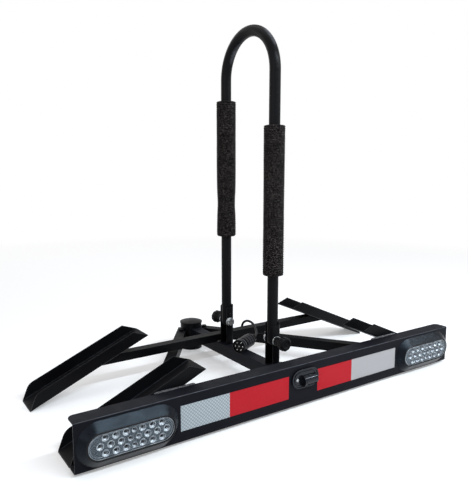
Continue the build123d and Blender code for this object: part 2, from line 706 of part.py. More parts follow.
def lamp_bezel(x):
    """A tail lamp's sloping surround."""
    base = facing(x, 0, LAMP_Z) * SlotOverall(*BEZEL)
    top = facing(x, -BEZEL_RISE, LAMP_Z) * SlotOverall(*grown(LENS, BEZEL_EDGE))
    body = loft([base, top])
    body -= obround(grown(LENS, LENS_GAP), -BEZEL_RISE - 1, 1, x, LAMP_Z)
    return body - obround(grown(HOUSING, LENS_GAP), -HOUSING_LIP, 1, x, LAMP_Z)


def lamp_lens(x):
    """A tail lamp's clear cover, with its skirt standing on the board."""
    body = obround(LENS, -LENS_RISE, 0, x, LAMP_Z)
    front = body.edges().group_by(Axis.Y)[0]
    body = fillet(front, LENS_WALL / 2)
    return body - obround(grown(LENS, -LENS_WALL), -LENS_RISE + LENS_WALL, 1, x, LAMP_Z)


def left_lamp_housing():
    """The left tail lamp's tub behind the panel, with a boss for the loom."""
    tub = obround(HOUSING, -HOUSING_LIP, HOUSING_DEPTH, -LAMP_X, LAMP_Z)
    inside = grown(HOUSING, -HOUSING_WALL)
    hollow = obround(inside, -HOUSING_LIP - 1, HOUSING_DEPTH - HOUSING_WALL, -LAMP_X, LAMP_Z)
    boss = rod((-LAMP_X + HOUSING[0] / 4, LOOM_Y, LOOM_Z), (-loom_reach(), LOOM_Y, LOOM_Z), CABLE_D)
    return (tub + boss) - hollow


def loom_reach():
    """How far the loom runs each way from the middle, to the housings' bosses."""
    return LAMP_X - HOUSING[0] / 2 - CABLE_D


def lamp_board(x):
    """The circuit board across a tail lamp's tub."""
    fit = grown(HOUSING, -HOUSING_WALL - LENS_GAP)
    return obround(fit, 0, BOARD_THICK, x, LAMP_Z)


def led_spots(x):
    """The centres of a lamp's lights, row by row, each with its cup's diameter."""
    spots = []
    for row, count in enumerate(LED_ROWS):
        z = LAMP_Z + (1 - row) * LED_ROW
        for step in range(count):
            place = step - (count - 1) / 2
            central = abs(place) < 1
            along = place * LED_CENTRE if central else place * LED_OUTER - copysign(LED_PULL, place)
            spots.append((x + LED_SHIFT + along * LED_PITCH, z, CENTRE_CUP_D if central else CUP_D))
    return spots


def lamp_reflector(x):
    """The moulded plate with one cup for each light."""
    body = obround(grown(LENS, -LENS_WALL - LENS_GAP), -REFLECTOR_RISE, 0, x, LAMP_Z)
    deep = LED_D / 2 + LENS_GAP
    stand = (Align.CENTER, Align.CENTER, Align.MIN)
    for spot_x, z, width in led_spots(x):
        body -= facing(spot_x, 0, z) * Cone(deep, width / 2, REFLECTOR_RISE, align=stand)
    return body


def lamp_leds(x):
    """The lights themselves, standing on the board in their cups."""
    leds = []
    for spot_x, z, _ in led_spots(x):
        led = rod((spot_x, 0, z), (spot_x, -LED_D / 2, z), LED_D / 2)
        leds.append(fillet(led.edges().group_by(Axis.Y)[0], LED_D / 4).solid())
    return Compound(children=leds)


def plate_lamp_base():
    """The number-plate lamp's base, with two raised rims."""
    x, z = PLATE_LAMP_X, PLATE_LAMP_Z
    rise = PLATE_BASE_RISE + RIM_RISE
    body = obround(PLATE_BASE, -rise, 0, x, z)
    body -= obround(grown(PLATE_BASE, -RIM_WIDTH), -rise - 1, -PLATE_BASE_RISE, x, z)
    inner = grown(PLATE_BASE, -2 * RIM_WIDTH)
    rim = obround(inner, -rise, -PLATE_BASE_RISE, x, z)
    body += rim - obround(grown(inner, -RIM_WIDTH / 2), -rise, -PLATE_BASE_RISE, x, z)
    body -= hood_room()
    body -= rod((x, -rise - 1, LOOM_Z), (x, 1, LOOM_Z), CABLE_D / 2 + RUNNING)
    return body - rod((SCREW_X, -rise - 1, SCREW_Z), (SCREW_X, 1, SCREW_Z), SCREW_D / 2 + RUNNING)


def hood_room():
    """The space above the base's face that the hood stands in."""
    top = -PLATE_BASE_RISE
    outer = HOOD_R + HOOD_RING_RISE
    return block(HOOD_LEFT, HOOD_RIGHT, top - HOOD_R, top, HOOD_Z - outer, HOOD_Z + outer)


def half_round(left, right, radius):
    """Half of a bar along X, standing on the plate lamp's base."""
    y = -PLATE_BASE_RISE
    bar = rod((left, y, HOOD_Z), (right, y, HOOD_Z), radius)
    return bar & block(left, right, y - 2 * HOOD_R, y, HOOD_Z - 2 * HOOD_R, HOOD_Z + 2 * HOOD_R)


def plate_lamp_hood():
    """The half-round hood, ringed at its left end and open below."""
    body = half_round(HOOD_LEFT, HOOD_RIGHT, HOOD_R)
    band = HOOD_LEFT + 2 * HOOD_RING
    body += half_round(HOOD_LEFT, HOOD_LEFT + HOOD_RING, HOOD_R + HOOD_RING_RISE)
    body += half_round(band, band + HOOD_RING, HOOD_R + HOOD_BAND_RISE)
    inner = HOOD_R - HOOD_WALL
    right = HOOD_RIGHT - HOOD_RING
    body -= half_round(HOOD_LEFT + HOOD_RING, right, inner)
    rear = -PLATE_BASE_RISE - RIM_RISE
    window = block(band + HOOD_RING, right, -2 * HOOD_R, rear, HOOD_Z - 2 * HOOD_R, HOOD_Z - inner / 2)
    return body - window


def plate_lamp_lens():
    """The clear cover inside the hood."""
    gap = LENS_GAP
    outer = HOOD_R - HOOD_WALL - gap
    left = HOOD_LEFT + HOOD_RING + gap
    right = HOOD_RIGHT - HOOD_RING - gap
    return half_round(left, right, outer) - half_round(left, right, outer - HOOD_WALL)


def plate_lamp_screw():
    """The cross-head screw that holds the number-plate lamp."""
    top = -PLATE_BASE_RISE
    crown = top - SCREW_HEAD / 3
    head = rod((SCREW_X, top, SCREW_Z), (SCREW_X, crown, SCREW_Z), SCREW_HEAD / 2)
    head = fillet(head.edges().group_by(Axis.Y)[0], SCREW_HEAD / 6)
    length, width, depth = SCREW_CROSS
    for across, up in ((length, width), (width, length)):
        head -= Pos(SCREW_X, crown, SCREW_Z) * Box(across, 2 * depth, up)
    return head + rod((SCREW_X, top, SCREW_Z), (SCREW_X, SHEET, SCREW_Z), SCREW_D / 2)


def tube_along(points, radii, radius):
    """A round bar along straight runs joined by arcs."""
    path = FilletPolyline(*points, radius=radii)
    start = Plane(path @ 0, z_dir=path % 0)
    return sweep(start * Circle(radius), path=path)


def lamp_wiring():
    """The loom inside the panel, and its branch down the spine to the grommet."""
    reach = loom_reach()
    r = CABLE_D / 2
    loom = rod((-reach, LOOM_Y, LOOM_Z), (reach, LOOM_Y, LOOM_Z), r)
    loom += rod((PLATE_LAMP_X, -PLATE_BASE_RISE, LOOM_Z), (PLATE_LAMP_X, LOOM_Y, LOOM_Z), r)
    inside = SPINE_SIZE / 2 - 2 * SPINE_WALL
    branch = [
        (0, LOOM_Y, LOOM_Z),
        (0, LOOM_Y, SPINE_MID),
        (0, GROMMET_Y, SPINE_MID),
        (inside, GROMMET_Y, SPINE_MID),
    ]
    return loom + tube_along(branch, CABLE_D, r)


def cable_grommet():
    """The rubber strain relief on the spine's right side."""
    inside = SPINE_SIZE / 2 - 2 * SPINE_WALL
    face = SPINE_SIZE / 2
    y, z = GROMMET_Y, SPINE_MID
    body = rod((inside, y, z), (face, y, z), GROMMET_NECK)
    body += rod((face, y, z), (face + GROMMET_FLANGE, y, z), GROMMET_NECK + GROMMET_LIP)
    stand = (Align.CENTER, Align.CENTER, Align.MIN)
    cone = Cone(GROMMET_NECK, CABLE_D / 2 + GROMMET_TIP, GROMMET_OUT - GROMMET_FLANGE, align=stand)
    return body + Plane((face + GROMMET_FLANGE, y, z), z_dir=(1, 0, 0)) * cone


def plug_frame():
    """The plug's own frame, with Z from its open face back to its cable."""
    return Plane((*PLUG_FACE, PLUG_Z), z_dir=(*PLUG_HEADING, 0))


def plug_shell():
    """The collar, ribbed barrel and narrow rear body of the trailer plug."""
    valley = PLUG_R - RIB_DEPTH
    crest = PLUG_R - RIB_SET
    neck = PLUG_R - PLUG_NECK
    start = PLUG_COLLAR + PLUG_GROOVE
    pitch = (PLUG_BARREL - start) / PLUG_RIBS
    points = [(0, 0), (PLUG_R - PLUG_EDGE, 0), (PLUG_R, PLUG_EDGE), (PLUG_R, PLUG_COLLAR)]
    points += [(valley, PLUG_COLLAR)]
    for step in range(PLUG_RIBS):
        z = start + step * pitch
        points += [(valley, z), (crest, z + RIB_FLANK * pitch), (crest, z + (1 - RIB_FLANK) * pitch)]
    points += [(valley, PLUG_BARREL), (neck, PLUG_BARREL + PLUG_SHOULDER), (neck, PLUG_BODY), (0, PLUG_BODY)]
    shell = revolve(Plane.XZ * make_face(Polyline(*points, close=True)), Axis.Z)
    shell -= rod((0, 0, -1), (0, 0, INSERT_END), INSERT_R + RUNNING)
    return plug_frame() * shell


def pin_spots():
    """The plug's pins: a ring of them, and one in the middle."""
    spots = [(0.0, 0.0)]
    for step in range(PIN_COUNT):
        angle = 2 * pi * step / PIN_COUNT
        spots.append((PIN_CIRCLE * cos(angle), PIN_CIRCLE * sin(angle)))
    return spots


def plug_insert():
    """The disc in the plug's mouth that holds the pins."""
    body = rod((0, 0, INSERT_DEPTH), (0, 0, INSERT_END), INSERT_R)
    for x, y in pin_spots():
        body -= rod((x, y, 0), (x, y, INSERT_END), PIN_R + RUNNING)
    return plug_frame() * body


def plug_pins():
    """The plug's contact pins."""
    pins = []
    for x, y in pin_spots():
        pin = rod((x, y, PIN_SINK), (x, y, INSERT_END), PIN_R)
        pin = fillet(pin.edges().group_by(Axis.Z)[0], PIN_R / 2)
        pins.append((plug_frame() * pin).solid())
    return Compound(children=pins)


def plug_gland_nut():
    """The nut that grips the cable behind the plug."""
    nut_end = (PLUG_BODY + PLUG_LENGTH) / 2
    body = hexagon((0, 0, PLUG_BODY), (0, 0, nut_end), GLAND_FLATS)
    stand = (Align.CENTER, Align.CENTER, Align.MIN)
    tip = CABLE_D / 2 + GLAND_TIP
    cone = Cone(GLAND_FLATS / 2 - GLAND_STEP, tip, PLUG_LENGTH - nut_end, align=stand)
    return plug_frame() * (body + Pos(0, 0, nut_end) * cone)


def corner_radii(points):
    """The radius of each corner of a route, as large as its two runs allow."""
    radii = []
    for before, corner, after in zip(points, points[1:], points[2:]):
        first = Vector(*corner) - Vector(*before)
        second = Vector(*after) - Vector(*corner)
        half_turn = radians(first.get_angle(second)) / 2
        radii.append(0.45 * min(first.length, second.length) / tan(half_turn))
    return radii


def plug_cable():
    """The free cable, with its radii, its length and its volume printed as a check."""
    radii = corner_radii(CABLE_ROUTE)
    cable = tube_along(CABLE_ROUTE, radii, CABLE_D / 2)
    length = FilletPolyline(*CABLE_ROUTE, radius=radii).length
    runs = [(Vector(*b) - Vector(*a)).length for a, b in zip(CABLE_ROUTE, CABLE_ROUTE[1:])]
    print("cable runs", [round(run, 1) for run in runs])
    print("cable radii", [round(radius, 1) for radius in radii])
    print("cable length", round(length, 1), "volume ratio", cable.volume / (length * pi * CABLE_D ** 2 / 4))
    return cable


def main():
    """Write every node."""
    os.makedirs("parts", exist_ok=True)
    save("light_panel", light_panel())
    left, right = tape_ends()
    save("left_white_tape", tape(left[0], left[1]))
    save("left_red_tape", tape(left[1], left[2]))
    save("right_red_tape", tape(right[0], right[1]))
    save("right_white_tape", tape(right[1], right[2]))
    save("spine_tube", spine_tube())
    for name, piece in (("strut", strut()), ("strut_plate", strut_plate())):
        save(f"right_{name}", piece)
        save(f"left_{name}", mirror(piece, Plane.YZ))
    save("apex_plate", apex_plate())
    save("strut_bolts", strut_bolts())
    save("far_crossbar", far_crossbar())
    for place, y in (("near", PANEL_DEPTH + TRAY_WIDTH / 2), ("far", CROSS_Y)):
        piece = left_tray(y)
        save(f"{place}_left_tray", piece)
        save(f"{place}_right_tray", mirror(piece, Plane.YZ))
    save("weld_beads", weld_beads())
    save("hub_socket", socket_hub())
    save("ball_stop", ball_stop())
    save("hub_cap", hub_cap())
    save("clamp_bolt", clamp_bolt())
    save("clamp_nut", clamp_nut())
    save("clamp_washers", clamp_washers())
    for place, y, side, span in (("near", LEG_Y, -1, NEAR_SLEEVE), ("far", FAR_LEG_Y, 1, FAR_SLEEVE)):
        save(f"{place}_bracket", bracket(y))
        save(f"{place}_pivot_bolt", pivot_bolt(y, side))
        save(f"{place}_knob", knob(y, side))
        save(f"{place}_sleeve", sleeve(y, *span))
    save("pivot_washers", pivot_washers())
    save("stop_rivets", rivets())
    save("hoop_tube", hoop_tube())
    save("hoop_end_plugs", end_plugs())
    for place, x in (("left", -LAMP_X), ("right", LAMP_X)):
        save(f"{place}_lamp_bezel", lamp_bezel(x))
        save(f"{place}_lamp_lens", lamp_lens(x))
        save(f"{place}_lamp_board", lamp_board(x))
        save(f"{place}_lamp_reflector", lamp_reflector(x))
        save(f"{place}_lamp_leds", lamp_leds(x))
    save("left_lamp_housing", left_lamp_housing())
    save("right_lamp_housing", mirror(left_lamp_housing(), Plane.YZ))
    save("plate_lamp_base", plate_lamp_base())
    save("plate_lamp_hood", plate_lamp_hood())
    save("plate_lamp_lens", plate_lamp_lens())
    save("plate_lamp_screw", plate_lamp_screw())
    save("lamp_wiring", lamp_wiring())
    save("cable_grommet", cable_grommet())
    save("plug_shell", plug_shell())
    save("plug_insert", plug_insert())
    save("plug_pins", plug_pins())
    save("plug_gland_nut", plug_gland_nut())
    save("plug_cable", plug_cable())


main()
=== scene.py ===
import math

import bmesh
import bpy
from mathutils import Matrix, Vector, noise


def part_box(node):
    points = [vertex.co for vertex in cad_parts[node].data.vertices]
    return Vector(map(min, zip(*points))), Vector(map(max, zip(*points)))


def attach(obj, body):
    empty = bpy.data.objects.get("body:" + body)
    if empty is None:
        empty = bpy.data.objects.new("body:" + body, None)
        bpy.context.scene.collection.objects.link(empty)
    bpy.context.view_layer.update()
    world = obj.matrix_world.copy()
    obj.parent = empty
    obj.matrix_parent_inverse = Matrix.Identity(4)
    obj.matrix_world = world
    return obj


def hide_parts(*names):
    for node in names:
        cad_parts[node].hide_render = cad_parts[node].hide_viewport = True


# Hitch bike rack: the finish of every surface, the foam sleeves, the weld seams,
# the lamps' insides and the free cable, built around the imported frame. Metres.

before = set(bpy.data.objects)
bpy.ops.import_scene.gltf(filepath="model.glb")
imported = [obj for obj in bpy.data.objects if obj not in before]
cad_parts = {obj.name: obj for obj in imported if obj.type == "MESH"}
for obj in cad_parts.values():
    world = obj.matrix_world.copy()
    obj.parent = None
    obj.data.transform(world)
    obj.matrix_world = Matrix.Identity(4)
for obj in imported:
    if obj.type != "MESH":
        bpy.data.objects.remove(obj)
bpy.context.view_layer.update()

# Camera, at the photograph's viewing angle
CAMERA_PLACE = (-0.75485, -1.34038, 0.4868)
CAMERA_YAW = math.radians(34.005)
CAMERA_PITCH = math.radians(8.589)
CAMERA_LENS = 39.52
CAMERA_SENSOR = 36.0

# Floor and sky: the near floor is lifted where it is seen, and the far floor and the sky look
# white but light the object by less
FLOOR_RADIUS = 9.0
FLOOR_SIDES = 96
FLOOR_FADE = (1.3, 2.6)
FLOOR_COLOUR = (0.84, 0.84, 0.85, 1)
FLOOR_LIFT = 0.28
FAR_FLOOR_LIGHT = 0.6
SKY_LIGHT = 0.4
WHITE = (1, 1, 1, 1)

# Soft lights: place, the point each looks at, width and height, brightness, colour
COOL = (0.84, 0.93, 1.0)
PLAIN = (1.0, 1.0, 1.0)
LIGHTS = {
    "key_strip": ((0.95, -1.6, 1.56), (0.95, -0.4, 0.05), (2.8, 0.12), 44.0, COOL),
    "left_box": ((-2.1, -0.9, 1.2), (0.0, -0.2, 0.2), (1.4, 1.4), 1.4, PLAIN),
    "back_box": ((0.4, 2.3, 1.5), (0.0, 0.0, 0.2), (2.6, 0.9), 1.6, PLAIN),
    "top_box": ((0.0, 0.1, 2.7), (0.0, -0.1, 0.0), (2.0, 2.0), 0.8, PLAIN),
}

# Powder coats: name, dark and pale colour, roughness, shine
COATS = {
    "black_powder_coat": ("satin_powder_coat", (0.0058, 0.0062, 0.0092, 1),
                          (0.0080, 0.0084, 0.0122, 1), 0.36, 0.05),
    "dark_coat": ("dark_powder_coat", (0.0026, 0.0027, 0.0034, 1),
                  (0.0048, 0.0049, 0.0060, 1), 0.38, 0.08),
}
COAT_EDGE = (0.05, 0.052, 0.06, 1)
COAT_EDGE_SHARE = 0.25
# painted highlight, the pale colour along the coat's folds
COAT_FOLD_HIGHLIGHT = (0.078, 0.081, 0.094, 1)
# where a face leans back enough to get the painted highlight along bends and folds, and where it looks up
# enough to be dusty
COAT_HIGHLIGHT_SLANT = (0.36, 0.5)
COAT_DUST_UPWARD = (0.6, 0.95)
COAT_DUST_ROUGHNESS = 0.24

# Moulded plastics: name, dark and pale colour, roughness, shine, the grain's depth, the shine's tint
PLASTICS = {
    "black_plastic": ("grained_plastic", (0.004, 0.004, 0.005, 1),
                      (0.009, 0.009, 0.011, 1), 0.42, 0.2, 0.00006, WHITE),
    "dark_plastic": ("knob_plastic", (0.0022, 0.0022, 0.0027, 1),
                     (0.005, 0.005, 0.006, 1), 0.45, 0.08, 0.00006, WHITE),
    "gloss_plastic": ("plate_lamp_plastic", (0.003, 0.0034, 0.0046, 1),
                      (0.006, 0.0066, 0.0084, 1), 0.1, 0.34, 0.000004, (0.8, 0.86, 1.0, 1)),
    "bezel": ("bezel_plastic", (0.0030, 0.0034, 0.0052, 1),
              (0.0056, 0.0064, 0.0092, 1), 0.27, 0.12, 0.00001, (0.66, 0.84, 1.0, 1)),
}

# Reflective tapes: name, colour of the field, of the sealed lines and of the facets, share of the lines
TAPES = {
    "white_tape": ("white_tape", (0.36, 0.40, 0.43, 1), (0.165, 0.20, 0.225, 1),
                   (0.50, 0.55, 0.58, 1), 0.7),
    "plain_tape": ("plain_white_tape", (0.37, 0.365, 0.37, 1), (0.31, 0.31, 0.315, 1),
                   (0.43, 0.42, 0.43, 1), 0.12),
    "red_tape": ("red_tape", (0.42, 0.006, 0.013, 1), (0.31, 0.005, 0.010, 1),
                 (0.49, 0.012, 0.022, 1), 0.2),
}
TAPE_PITCH = 0.0036
# the sealed lines' soft sides, as shares of the pitch, and the facets' share of the relief
TAPE_LINE = (0.1, 0.5)
TAPE_FACET_RELIEF = 0.3

# The other finishes: dark and pale colour, where the foam is flecked paler, and the painted shade on a
# cup's right-hand wall and where it lies
ZINC = ((0.36, 0.39, 0.43, 1), (0.60, 0.60, 0.58, 1))
WELD_METAL = ((0.006, 0.006, 0.008, 1), (0.06, 0.06, 0.068, 1))
# the plug's black, and the pale painted highlight on its ribs
PLUG_BLACK_AND_HIGHLIGHT = ((0.0006, 0.0006, 0.0008, 1), (0.042, 0.042, 0.047, 1))
FOAM = ((0.0015, 0.0012, 0.0014, 1), (0.098, 0.085, 0.083, 1))
FOAM_FLECKS = (0.51, 0.64)
RUBBER = ((0.005, 0.005, 0.006, 1), (0.012, 0.012, 0.013, 1))
# painted highlight along the lens's edge and step
LENS_HIGHLIGHT = ((0.16, 0.19, 0.22, 1), (0.50, 0.55, 0.60, 1))
REFLECTOR = ((0.034, 0.044, 0.054, 1), (0.050, 0.064, 0.076, 1))
CUP = ((0.29, 0.31, 0.335, 1), (0.49, 0.515, 0.54, 1))
# painted shade on each cup's right-hand wall: its dark colour, and the leftward facings that get it
CUP_PAINTED_SHADE = (0.075, 0.085, 0.10, 1)
CUP_SHADED_FACING = (-0.75, -0.2)
DOME = ((0.008, 0.009, 0.010, 1), (0.03, 0.032, 0.034, 1))
BOARD = ((0.02, 0.07, 0.04, 1), (0.04, 0.13, 0.07, 1))
CONTACT = ((0.24, 0.235, 0.225, 1), (0.42, 0.41, 0.39, 1))
CLEAR = (0.93, 0.96, 0.98, 1)

# Nodes whose finish isn't their slot's
OWN_FINISHES = {
    "right_white_tape": "plain_tape",
    "hub_cap": "dark_plastic",
    "plug_insert": "dark_plastic",
    "plate_lamp_base": "gloss_plastic",
    "plate_lamp_hood": "gloss_plastic",
    "hoop_tube": "dark_coat",
    "stop_rivets": "dark_coat",
    "strut_bolts": "dark_coat",
    "far_crossbar": "dark_coat",
    "hub_socket": "dark_coat",
}

# Mix nodes' colour sockets have no names of their own
MIX_SHARE = 0
MIX_FIRST = 6
MIX_SECOND = 7
MIX_RESULT = 2

# Where a rounded edge counts as worn, as the likeness of its normal to the plain one
EDGE_LIKENESS = (0.86, 0.995)
EDGE_SAMPLES = 6

# The ball's centre is the origin, this far above the ground and behind the panel's face
BALL_Z = 0.028
BALL_Y = 0.488

# Lamps: the cups nearest the middle are smaller, and the rims of painted highlight and the seal are set by
# the lens's outline
CUP_SIDES = 12
CUP_TWIST = 0.5
CUP_PROFILE = [
    (0.00665, 0.0), (0.0069, -0.0002), (0.0067, -0.0007), (0.0060, -0.0006), (0.0052, 0.0004),
    (0.0042, 0.0015), (0.0034, 0.0022), (0.0034, 0.0100), (0.0052, 0.0040),
]
DOME_PROFILE = [
    (0.0032, 0.0), (0.0032, -0.0060), (0.0029, -0.0073), (0.0020, -0.0083), (0.0007, -0.0088),
]
CENTRE_REACH = 0.011
CENTRE_CUP = 0.78
LENS_RIM = 0.0022
RIM_R = 0.0004
LENS_STEP = 0.0050
STEP_R = 0.00025
GASKET_R = 0.0019
GASKET_OUT = 0.0006
OVAL_STEPS = 24
BEAD_SIDES = 8
SAME_PLACE = 0.00001

# Foam sleeves
RIB_PITCH = 0.0052
RIB_DEPTH = 0.0021
RIB_DEPTH_RANGE = (0.8, 0.5)
RIB_SHARPNESS = 1.3
RIB_SWAY = 0.35
RIB_RINGS = 7
SLEEVE_SIDES = 72
SLEEVE_END = 0.004
SLEEVE_GIRTH = (0.99, 0.02)
SLEEVE_DENT = 0.0006
SLEEVE_PLAY = 0.0002
# the unevenness of girth and of ribs, as its scale round the sleeve and along it
DRIFT = (1.3, 14)
RIPPLE = (5, 60)
# the waist's place along the sleeve, its length and its depth, as shares
SLEEVE_WAIST = {"near": (0.4, 0.5, 0.02), "far": (0.25, 0.09, 0.075)}

# Weld seams
WELD = 0.004
WELD_RIPPLE = 0.0021
WELD_STEPS = 6
WELD_ARC = 7
WELD_TAPER = (0.55, 8)
WELD_LEAN = 0.35
WELD_LUMPS = 130
WELD_LUMP_SHIFT = 0.4
WELD_REACH = (0.86, 0.07, 0.1)
TRAY_SEAM = (0.248, 0.336)
BRACKET_SEAM = 0.005

# The plug's middle line, how far its grooves and ribs lie from it, and its bands of painted highlight along
# it
PLUG_PLACE = (-0.02, -0.272, 0.0511)
PLUG_LINE = (0.877, 0.481, 0.0)
PLUG_RIB_REACH = (0.0157, 0.0168)
PLUG_RIBS_START = 0.018
PLUG_BAND_PITCH = 0.012
PLUG_BAND_SIDE = (0.25, 0.65)

# The free cable
CABLE_D = 0.0065
CABLE_SIDES = 6
CABLE_STEPS = 16
CABLE_ROUTE_MM = [
    (27, 140, 47),
    (52, 140, 47),
    (74, 150, 35),
    (82, 174, 17),
    (81, 204, 5),
    (78, 236, 4),
    (77, 268, 4),
    (79, 298, 6),
    (83, 326, 15),
    (87, 348, 34),
    (89, 362, 59),
    (91, 361, 86),
    (94, 342, 98.5),
    (95, 317, 97),
    (87, 292, 88),
    (72.962, 266.986, 79.1),
    (51.914, 255.442, 79.1),
]


class Graph:
    """A tree of shader nodes, with short ways to build it."""

    def __init__(self, tree):
        self.nodes = tree.nodes
        self.links = tree.links

    def feed(self, socket, value):
        """Set an input to a value, or link an output to it."""
        if isinstance(value, bpy.types.NodeSocket):
            self.links.new(value, socket)
        else:
            socket.default_value = value

    def add(self, kind, inputs, **settings):
        """A new node with its settings and inputs."""
        node = self.nodes.new(kind)
        for name, value in settings.items():
            setattr(node, name, value)
        for key, value in inputs.items():
            self.feed(node.inputs[key], value)
        return node

    def math(self, operation, first, second=0.0):
        """The result of one Math node."""
        return self.add("ShaderNodeMath", {0: first, 1: second}, operation=operation).outputs["Value"]

    def vectors(self, operation, *inputs):
        """The outputs of one Vector Math node, named Vector and Value."""
        return self.add("ShaderNodeVectorMath", dict(enumerate(inputs)), operation=operation).outputs

    def parts(self, vector):
        """A vector's X, Y and Z."""
        return self.add("ShaderNodeSeparateXYZ", {0: vector}).outputs

    def spread(self, value, low, high, start=0.35, end=0.65):
        """A pattern's middle values spread out between two numbers."""
        inputs = {"Value": value, "From Min": start, "From Max": end, "To Min": low, "To Max": high}
        return self.add("ShaderNodeMapRange", inputs).outputs["Result"]

    def seen_rays(self):
        """1 for rays from the camera, from gloss and through glass, and 0 for the rest."""
        path = self.nodes.new("ShaderNodeLightPath").outputs
        gloss = self.math("MAXIMUM", path["Is Glossy Ray"], path["Is Transmission Ray"])
        return self.math("MAXIMUM", path["Is Camera Ray"], gloss)


class Finish(Graph):
    """One material, built node by node around its Principled shader."""

    def __init__(self, name):
        self.material = bpy.data.materials.new(name)
        self.material.use_nodes = True
        super().__init__(self.material.node_tree)
        self.shader = self.nodes["Principled BSDF"]
        coordinates = self.nodes.new("ShaderNodeTexCoord").outputs
        self.place = coordinates["Object"]
        self.facing = coordinates["Normal"]

    def shade(self, **inputs):
        """Set the shader's inputs, named with _ for each space."""
        for name, value in inputs.items():
            self.feed(self.shader.inputs[name.replace("_", " ")], value)

    def noise(self, scale, detail, stretch=(1, 1, 1)):
        """A noise pattern, with its size in parts of a metre, stretched along each axis."""
        place = self.add("ShaderNodeMapping", {"Vector": self.place, "Scale": stretch}).outputs[0]
        inputs = {"Vector": place, "Scale": scale, "Detail": detail}
        return self.add("ShaderNodeTexNoise", inputs).outputs["Fac"]

    def cells(self, scale):
        """A pattern of small cells, as the distance from each one's middle."""
        return self.add("ShaderNodeTexVoronoi", {"Vector": self.place, "Scale": scale}).outputs["Distance"]

    def mixed(self, share, first, second):
        """Two colours mixed by a share."""
        inputs = {MIX_SHARE: share, MIX_FIRST: first, MIX_SECOND: second}
        return self.add("ShaderNodeMix", inputs, data_type="RGBA").outputs[MIX_RESULT]

    def toned(self, pattern, dark, pale):
        """Two colours mixed by a pattern's middle values."""
        return self.mixed(self.spread(pattern, 0, 1), dark, pale)

    def bump(self, height, depth, normal=None):
        """A normal raised by a pattern, by so many metres."""
        node = self.add("ShaderNodeBump", {"Height": height, "Distance": depth})
        if normal is not None:
            self.feed(node.inputs["Normal"], normal)
        return node.outputs["Normal"]

    def soft_edges(self, radius):
        """A normal that rounds sharp edges by a radius."""
        return self.add("ShaderNodeBevel", {"Radius": radius}, samples=EDGE_SAMPLES).outputs["Normal"]

    def edge_share(self, rounded):
        """How near an edge a point is, from the normal that rounds it."""
        plain = self.nodes.new("ShaderNodeNewGeometry").outputs["Normal"]
        likeness = self.vectors("DOT_PRODUCT", rounded, plain)["Value"]
        return self.spread(likeness, 1.0, 0.0, *EDGE_LIKENESS)


def powder_coat(name, dark, pale, roughness, shine):
    """Satin black powder coat: orange peel, slow haze, dusty tops, paler edges, and a painted highlight
    along its folds.
    """
    finish = Finish(name)
    haze = finish.noise(7, 4)
    scuff = finish.noise(55, 5, (1, 1, 3))
    orange_peel = finish.noise(620, 2)
    rounded = finish.soft_edges(0.0011)
    rubbed = finish.math("MULTIPLY", finish.edge_share(rounded), finish.spread(scuff, 0.1, 1))
    worn = finish.mixed(finish.math("MULTIPLY", rubbed, COAT_EDGE_SHARE),
                        finish.toned(haze, dark, pale), COAT_EDGE)
    _, ahead, upward = finish.parts(finish.facing)
    slant = finish.math("ABSOLUTE", finish.math("MULTIPLY", ahead, upward))
    # painted highlight on faces slanted between front and top, as along folds
    fold_highlight = finish.math("MULTIPLY", finish.spread(slant, 0, 1, *COAT_HIGHLIGHT_SLANT),
                       finish.spread(scuff, 0.5, 1))
    dust = finish.spread(upward, 0, COAT_DUST_ROUGHNESS, *COAT_DUST_UPWARD)
    satin = finish.math("ADD", finish.spread(haze, roughness - 0.04, roughness + 0.04),
                        finish.spread(scuff, -0.03, 0.05))
    finish.shade(
        Base_Color=finish.mixed(fold_highlight, worn, COAT_FOLD_HIGHLIGHT),
        Roughness=finish.math("ADD", satin, dust),
        Normal=finish.bump(orange_peel, 0.00006, rounded),
        Specular_IOR_Level=shine,
    )
    return finish.material


def zinc():
    """Bright zinc plate, with fine streaks and a slight yellow tinge in places."""
    finish = Finish("bright_zinc")
    cloud = finish.noise(160, 3)
    streak = finish.noise(900, 3, (1, 0.1, 1))
    finish.shade(
        Base_Color=finish.toned(cloud, *ZINC),
        Roughness=finish.spread(streak, 0.2, 0.38),
        Normal=finish.bump(streak, 0.00004, finish.soft_edges(0.0005)),
        Metallic=1.0,
    )
    return finish.material


def weld_metal():
    """Painted weld metal, glossy and grainy."""
    finish = Finish("weld_metal")
    grain = finish.noise(900, 4)
    finish.shade(
        Base_Color=finish.toned(grain, *WELD_METAL),
        Roughness=finish.spread(grain, 0.2, 0.4),
        Normal=finish.bump(grain, 0.0006),
        Specular_IOR_Level=0.6,
    )
    return finish.material


def moulded_plastic(name, dark, pale, roughness, shine, grain_depth, tint):
    """Black moulded plastic, with a fine spark-eroded grain and faint flow marks."""
    finish = Finish(name)
    flow = finish.noise(26, 3, (1, 1, 2.5))
    grain = finish.cells(2400)
    finish.shade(
        Base_Color=finish.toned(flow, dark, pale),
        Roughness=finish.spread(flow, roughness - 0.04, roughness + 0.05),
        Normal=finish.bump(grain, grain_depth, finish.soft_edges(0.0007)),
        Specular_IOR_Level=shine,
        Specular_Tint=tint,
    )
    return finish.material


